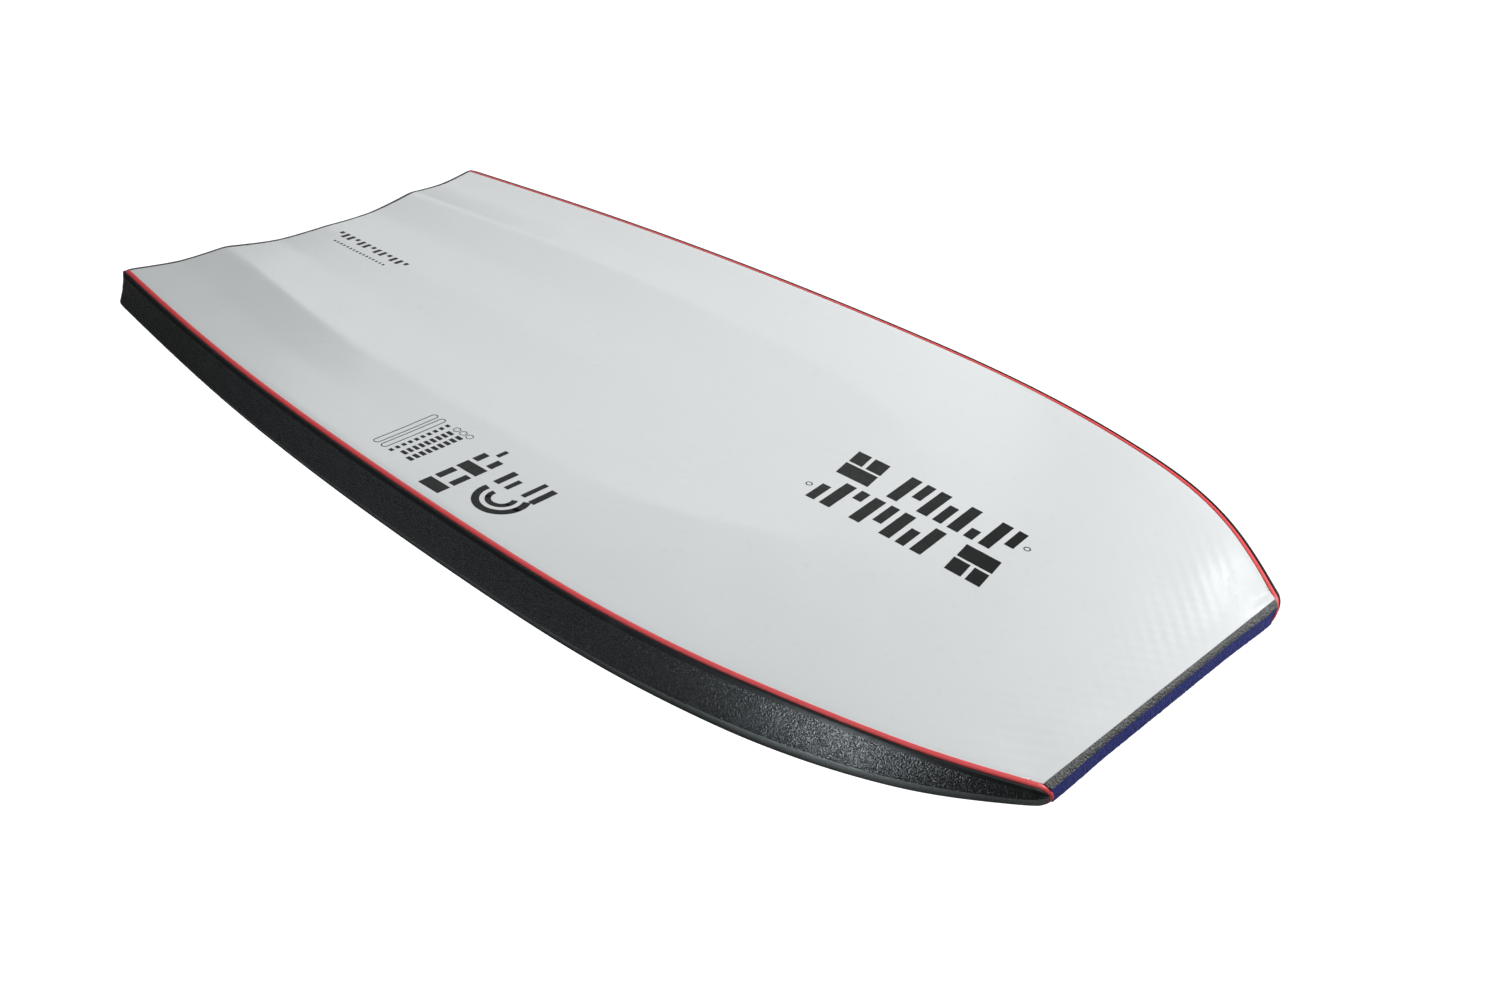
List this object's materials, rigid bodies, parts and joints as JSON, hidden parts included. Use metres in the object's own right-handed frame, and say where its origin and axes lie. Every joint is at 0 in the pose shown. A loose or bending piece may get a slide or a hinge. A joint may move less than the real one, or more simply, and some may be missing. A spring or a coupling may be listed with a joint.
{
  "type": "bodyboard",
  "caption": "Prone-riding foam bodyboard: flat deck, glossy slick with channelled tail, crescent tail, straight nose, flared rails with a contrasting pinline.",
  "frame": {"origin": "on the flat of the deck, on the centreline, half way along the board", "axes": "+Y from the nose to the tail, +X to the rider's right, +Z out through the slick: the board lies on its deck"},
  "size_m": [0.5706, 1.0474, 0.0582],
  "materials": {
    "slick": "gloss off-white film with a faint diamond dimple from the mesh behind it",
    "mesh": "open woven polymer mesh",
    "backing_foam": "closed-cell foam sheet",
    "core_foam": "beaded closed-cell foam",
    "deck_foam": "pebbled closed-cell foam skin, dark blue",
    "nose_foam": "textured closed-cell foam, dark grey",
    "rail_foam": "pebbled closed-cell foam skin, black",
    "chine_foam": "pebbled closed-cell foam skin, black",
    "pinline_foam": "smooth closed-cell foam, red",
    "carbon": "pultruded carbon fibre",
    "cap_plastic": "moulded plastic"
  },
  "bodies": {
    "root": {"core": "core_foam", "slick_skin": "slick", "slick_mesh": "mesh", "slick_backing": "backing_foam", "deck_skin": "deck_foam", "nose_bulb": "nose_foam", "tail_strip": "rail_foam", "rail_inner_left": "pinline_foam", "rail_inner_right": "pinline_foam", "rail_outer_left": "rail_foam", "rail_outer_right": "rail_foam", "chine_left": "chine_foam", "chine_right": "chine_foam", "stringer_tube": "carbon", "stringer_caps": "cap_plastic", "bore_plug": "core_foam"}
  },
  "joints": []
}
